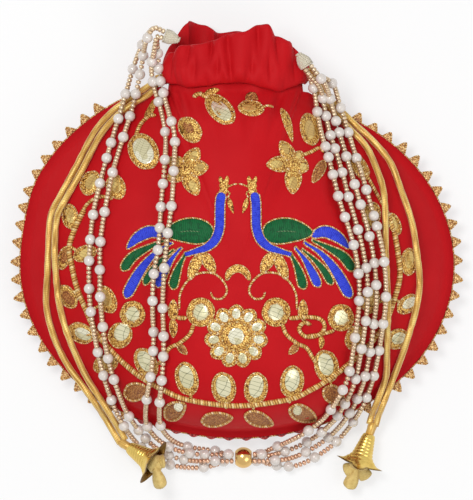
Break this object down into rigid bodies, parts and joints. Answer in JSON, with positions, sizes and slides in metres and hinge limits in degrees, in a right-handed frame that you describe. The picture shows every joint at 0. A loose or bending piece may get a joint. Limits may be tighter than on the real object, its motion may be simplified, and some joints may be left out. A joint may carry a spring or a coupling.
{
  "type": "potli bag",
  "caption": "Round drawstring pouch of gathered silk with embroidered front, lace edging, bell-tipped drawcords and a beaded carrying strap.",
  "frame": {"origin": "on the table, at the middle of the flat of the back that the bag rests on", "axes": "+X to the viewer's right across the bag, +Y up the bag towards its frill, +Z out of the embroidered front, away from the table"},
  "size_m": [0.2297, 0.2374, 0.0641],
  "materials": {
    "red_silk": "satin weave",
    "zari_lace": "metallic thread",
    "zari_gold": "metallic thread over padding",
    "satin_cord": "twisted satin",
    "bell_gold": "bright",
    "petal_gold": "matt",
    "ivory_thread": "wound thread",
    "ball_gold": "polished",
    "pearl_beads": "pearl lustre",
    "peacock_thread": "silk floss",
    "mirror_foil": "antique foil"
  },
  "bodies": {
    "root": {"back_panel": "red_silk", "bell_cap_left": "bell_gold", "bell_cap_right": "bell_gold", "bell_petals_left": "petal_gold", "bell_petals_right": "petal_gold", "cord_knot_left": "satin_cord", "cord_knot_right": "satin_cord", "drawcord_left_inner": "satin_cord", "drawcord_left_loop": "satin_cord", "drawcord_left_outer": "satin_cord", "drawcord_right_inner": "satin_cord", "drawcord_right_loop": "satin_cord", "drawcord_right_outer": "satin_cord", "drop_left": "zari_gold", "drop_right": "mirror_foil", "drop_small_left": "zari_gold", "edge_lace": "zari_lace", "flower_left": "zari_gold", "flower_right": "zari_gold", "front_panel": "red_silk", "garland": "zari_gold", "leaf_pair_right": "zari_gold", "mirror_inner_left": "mirror_foil", "mirror_inner_right": "mirror_foil", "mirror_outer_left": "mirror_foil", "mirror_outer_right": "mirror_foil", "neck_band": "red_silk", "peacock_left": "peacock_thread", "peacock_right": "peacock_thread", "rosette": "mirror_foil", "scroll_left": "zari_gold", "scroll_right": "zari_gold", "side_spray_left": "zari_gold", "side_spray_right": "zari_gold", "strap_ball": "ball_gold", "strap_strand_left_1": "pearl_beads", "strap_strand_left_2": "pearl_beads", "strap_strand_left_3": "pearl_beads", "strap_strand_left_4": "pearl_beads", "strap_strand_right_1": "pearl_beads", "strap_strand_right_2": "pearl_beads", "strap_strand_right_3": "pearl_beads", "strap_strand_right_4": "pearl_beads", "strap_tie_left": "ivory_thread", "strap_tie_right": "ivory_thread", "top_oval_left": "mirror_foil", "top_oval_right": "mirror_foil"}
  },
  "joints": []
}
